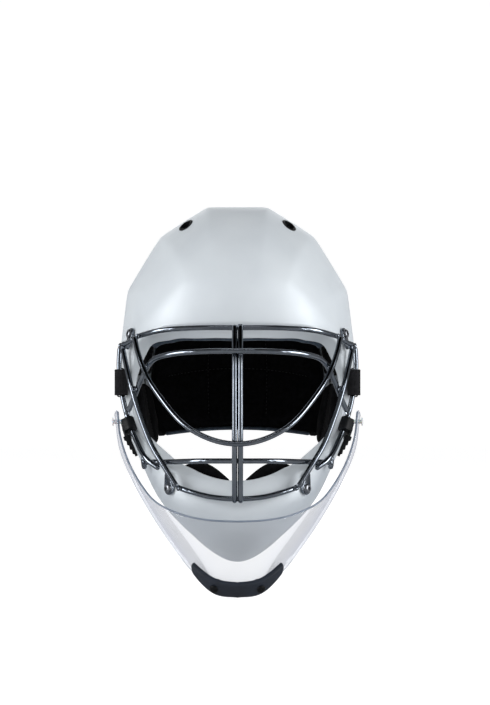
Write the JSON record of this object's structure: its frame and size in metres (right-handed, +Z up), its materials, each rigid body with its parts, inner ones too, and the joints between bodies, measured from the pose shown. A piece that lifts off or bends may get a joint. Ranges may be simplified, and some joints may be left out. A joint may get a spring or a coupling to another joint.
{
  "type": "field hockey goalkeeper helmet",
  "caption": "Goalkeeper helmet with a faceted full-jaw shell, steel wire cage, foam liner, strapped backplate and a hanging clear throat guard.",
  "frame": {"origin": "centre of the bounding box in plan, at its lowest point (the tip of the throat guard)", "axes": "+Z up through the crown, the face looks along -Y, +X to the wearer's left"},
  "size_m": [0.2432, 0.2972, 0.3746],
  "materials": {
    "shell": "satin silver composite",
    "steel": "dark chromed wire",
    "screw": "plated",
    "clear": "clear polycarbonate",
    "bumper": "moulded matte rubber",
    "plastic": "moulded black",
    "foam": "fabric-covered foam",
    "trim": "slate sweatband fabric",
    "webbing": "woven webbing"
  },
  "bodies": {
    "helmet": {"shell": "shell", "pad_crown": "foam", "pad_forehead": "foam", "sweatband": "trim", "pad_side_left": "foam", "pad_side_right": "foam", "pad_cheek_left": "foam", "pad_cheek_right": "foam", "pad_chin_left": "foam", "pad_chin_right": "foam", "strap_top": "webbing", "strap_side_left": "webbing", "strap_side_right": "webbing", "cage_bar_top": "steel", "cage_bar_brow": "steel", "cage_bar_eye": "steel", "cage_bar_lower": "steel", "cage_bar_chin": "steel", "cage_bar_centre_left": "steel", "cage_bar_centre_right": "steel", "cage_bar_side_left": "steel", "cage_bar_side_right": "steel", "cage_bar_perimeter_left": "steel", "cage_bar_perimeter_right": "steel", "cage_link_left": "steel", "cage_link_right": "steel", "cage_stub_left": "steel", "cage_stub_right": "steel", "cage_lug_top_left": "steel", "cage_lug_top_right": "steel", "cage_lug_chin_left": "steel", "cage_lug_chin_right": "steel", "cage_screw_top_left": "screw", "cage_screw_top_right": "screw", "cage_screw_chin_left": "screw", "cage_screw_chin_right": "screw", "cage_nut_top_left": "screw", "cage_nut_top_right": "screw", "cage_nut_chin_left": "screw", "cage_nut_chin_right": "screw", "guard_clip_left": "plastic", "guard_clip_right": "plastic"},
    "throat_guard_body": {"throat_guard": "clear", "throat_bumper": "bumper", "bumper_rivet_left": "plastic", "bumper_rivet_right": "plastic", "guard_pin_left": "plastic", "guard_pin_right": "plastic"},
    "backplate_body": {"backplate": "shell", "pad_backplate": "foam", "strap_tail_left": "webbing", "strap_tail_right": "webbing", "strap_anchor_left": "plastic", "strap_anchor_right": "plastic", "backplate_tab": "plastic"},
    "latch_left": {"clip_latch_left": "plastic"},
    "latch_right": {"clip_latch_right": "plastic"},
    "slider_left": {"strap_slider_left": "plastic"},
    "slider_right": {"strap_slider_right": "plastic"}
  },
  "joints": [
    {"name": "throat_guard_swing", "type": "hinge", "parent": "helmet", "child": "throat_guard_body", "pos_m": [0, -0.0415, 0.16056], "axis": [1, 0, 0], "range_deg": [-30, 8]},
    {"name": "backplate_swing", "type": "hinge", "parent": "helmet", "child": "backplate_body", "pos_m": [0, 0.1455, 0.28256], "axis": [1, 0, 0], "range_deg": [0, 25]},
    {"name": "latch_left_flip", "type": "hinge", "parent": "helmet", "child": "latch_left", "pos_m": [0.105, -0.0612, 0.1482], "axis": [1, 0, 0], "range_deg": [-55, 0]},
    {"name": "latch_right_flip", "type": "hinge", "parent": "helmet", "child": "latch_right", "pos_m": [-0.105, -0.0612, 0.1482], "axis": [1, 0, 0], "range_deg": [-55, 0]},
    {"name": "slider_left_slide", "type": "slide", "parent": "helmet", "child": "slider_left", "axis": [0, 1, 0], "range_m": [-0.003, 0.002]},
    {"name": "slider_right_slide", "type": "slide", "parent": "helmet", "child": "slider_right", "axis": [0, 1, 0], "range_m": [-0.003, 0.002]}
  ]
}
